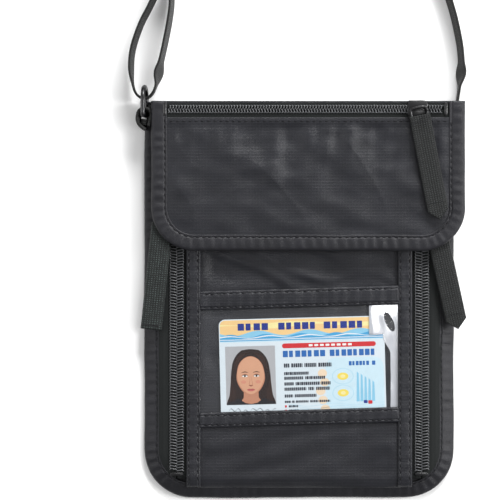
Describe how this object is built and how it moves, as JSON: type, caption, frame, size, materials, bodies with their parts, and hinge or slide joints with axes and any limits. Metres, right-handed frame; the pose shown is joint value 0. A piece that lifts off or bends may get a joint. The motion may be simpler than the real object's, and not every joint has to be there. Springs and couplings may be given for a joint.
{
  "type": "neck pouch wallet",
  "caption": "Flat neck pouch with a flap, zipped side pockets, a clear window for an identity card, and an adjustable webbing neck strap.",
  "frame": {"origin": "centre of the pouch's back face", "axes": "+X to the pouch's right, +Y to its top edge, +Z out of its front"},
  "size_m": [0.1739, 0.4095, 0.021],
  "materials": {
    "ripstop_cloth": "black ripstop nylon, soft sheen",
    "lining_cloth": "plain black lining",
    "binding_tape": "black bias binding, stitched",
    "zip_tape": "black knitted zip tape",
    "zip_coil": "glossy nylon coil",
    "black_metal": "gloss black enamel",
    "pull_webbing": "woven black-green webbing",
    "strap_webbing": "flat woven webbing",
    "hook_loop": "hook and loop tape",
    "clear_vinyl": "clear soft vinyl, glossy",
    "card_plastic": "laminated card"
  },
  "bodies": {
    "root": {"back_panel": "ripstop_cloth", "front_panel": "ripstop_cloth", "top_collar": "ripstop_cloth", "lower_pocket_panel": "ripstop_cloth", "left_strip": "ripstop_cloth", "right_strip": "ripstop_cloth", "inner_lining": "lining_cloth", "pocket_divider": "lining_cloth", "edge_binding": "binding_tape", "window_top_hem": "binding_tape", "window_bottom_hem": "binding_tape", "left_zip_outer_tape": "zip_tape", "left_zip_inner_tape": "zip_tape", "right_zip_outer_tape": "zip_tape", "right_zip_inner_tape": "zip_tape", "left_zip_outer_coil": "zip_coil", "left_zip_inner_coil": "zip_coil", "right_zip_outer_coil": "zip_coil", "right_zip_inner_coil": "zip_coil", "left_zip_stops": "black_metal", "right_zip_stops": "black_metal", "strap_adjuster": "black_metal", "ring_tab": "strap_webbing", "strap_anchor": "strap_webbing", "strap_right_run": "strap_webbing", "strap_coil": "strap_webbing", "strap_left_run": "strap_webbing", "front_loop_patch": "hook_loop", "window_vinyl": "clear_vinyl"},
    "ring": {"d_ring": "black_metal"},
    "left_slider": {"left_zip_slider": "black_metal", "left_zip_tab": "black_metal", "left_pull_base": "pull_webbing"},
    "left_pull": {"left_pull_end": "pull_webbing"},
    "right_slider": {"right_zip_slider": "black_metal", "right_zip_tab": "black_metal", "right_pull_base": "pull_webbing"},
    "right_pull": {"right_pull_end": "pull_webbing"},
    "flap": {"flap_outer": "ripstop_cloth", "flap_lining": "lining_cloth", "flap_binding": "binding_tape", "flap_hook_patch": "hook_loop", "top_zip_lower_tape": "zip_tape", "top_zip_upper_tape": "zip_tape", "top_zip_lower_coil": "zip_coil", "top_zip_upper_coil": "zip_coil", "top_zip_stops": "black_metal"},
    "top_slider": {"top_zip_slider": "black_metal"},
    "top_pull": {"top_zip_pull": "pull_webbing"},
    "card": {"id_card": "card_plastic"}
  },
  "joints": [
    {"name": "flap_hinge", "type": "hinge", "parent": "root", "child": "flap", "pos_m": [0, 0.1025, 0.013], "axis": [-1, 0, 0], "range_deg": [0, 150]},
    {"name": "top_zip_slide", "type": "slide", "parent": "flap", "child": "top_slider", "axis": [-1, 0, 0], "range_m": [0, 0.12]},
    {"name": "top_pull_lift", "type": "hinge", "parent": "top_slider", "child": "top_pull", "pos_m": [0.061, 0.0983, 0.018], "axis": [-1, 0, 0], "range_deg": [0, 110]},
    {"name": "left_zip_slide", "type": "slide", "parent": "root", "child": "left_slider", "axis": [0, -1, 0], "range_m": [0, 0.124]},
    {"name": "left_pull_lift", "type": "hinge", "parent": "left_slider", "child": "left_pull", "pos_m": [-0.07231, 0.02514, 0.0117], "axis": [-0.9945, 0.1045, 0], "range_deg": [0, 90]},
    {"name": "right_zip_slide", "type": "slide", "parent": "root", "child": "right_slider", "axis": [0, -1, 0], "range_m": [0, 0.124]},
    {"name": "right_pull_lift", "type": "hinge", "parent": "right_slider", "child": "right_pull", "pos_m": [0.0732, 0.02453, 0.0117], "axis": [-0.9763, -0.2164, 0], "range_deg": [0, 90]},
    {"name": "card_slide", "type": "slide", "parent": "root", "child": "card", "axis": [0, 1, 0], "range_m": [0, 0.055]},
    {"name": "ring_swing", "type": "hinge", "parent": "root", "child": "ring", "pos_m": [-0.08, 0.0955, 0.0082], "axis": [0, 0, 1], "range_deg": [-8, 8]}
  ]
}
